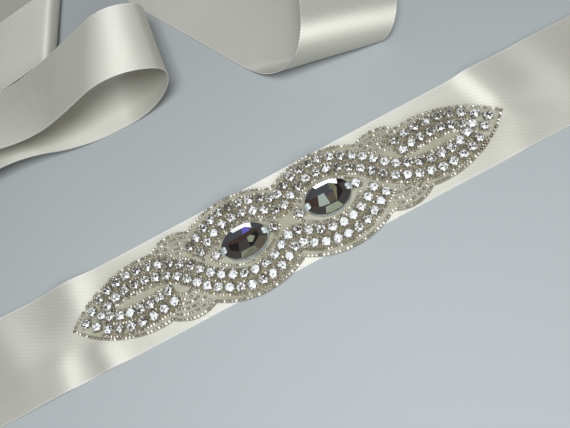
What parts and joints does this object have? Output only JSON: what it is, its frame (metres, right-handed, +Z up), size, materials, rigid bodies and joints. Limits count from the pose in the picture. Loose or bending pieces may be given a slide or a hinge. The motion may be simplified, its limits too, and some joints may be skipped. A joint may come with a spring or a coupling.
{
  "type": "bridal sash",
  "caption": "Ivory satin ribbon sash laid in loose loops, with a scalloped applique of interlaced rhinestone rows round oval crystals.",
  "frame": {"origin": "on the table, under the middle of the applique, at the underside of the front stretch of ribbon", "axes": "+X along the applique to its right tip, +Y away from the front stretch towards the loops, +Z up from the table"},
  "size_m": [0.519, 0.2707, 0.0294],
  "materials": {
    "ribbon": "double-face polyester satin, soft sheen",
    "backing": "stiff beige interfacing covered with silver-lined seed beads",
    "rhinestones": "cut glass, foiled, in silver cups with claws",
    "settings": "silver plated, bright",
    "crystal": "faceted, foiled, polished"
  },
  "bodies": {
    "root": {"ribbon_front": "ribbon", "ribbon_loop": "ribbon", "ribbon_fold": "ribbon", "ribbon_turn_right": "ribbon", "ribbon_return_right": "ribbon", "ribbon_turn_left": "ribbon", "ribbon_return_left": "ribbon", "ribbon_tail_right": "ribbon", "ribbon_tail_right_return": "ribbon", "ribbon_tail_right_end": "ribbon", "ribbon_tail_left": "ribbon", "ribbon_tail_left_turn": "ribbon", "ribbon_tail_left_end": "ribbon", "applique_backing": "backing", "stones_over_left": "rhinestones", "stones_over_right": "rhinestones", "stones_leaf_left": "rhinestones", "stones_leaf_right": "rhinestones", "setting_left": "settings", "setting_right": "settings", "crystal_left": "crystal", "crystal_right": "crystal"}
  },
  "joints": []
}
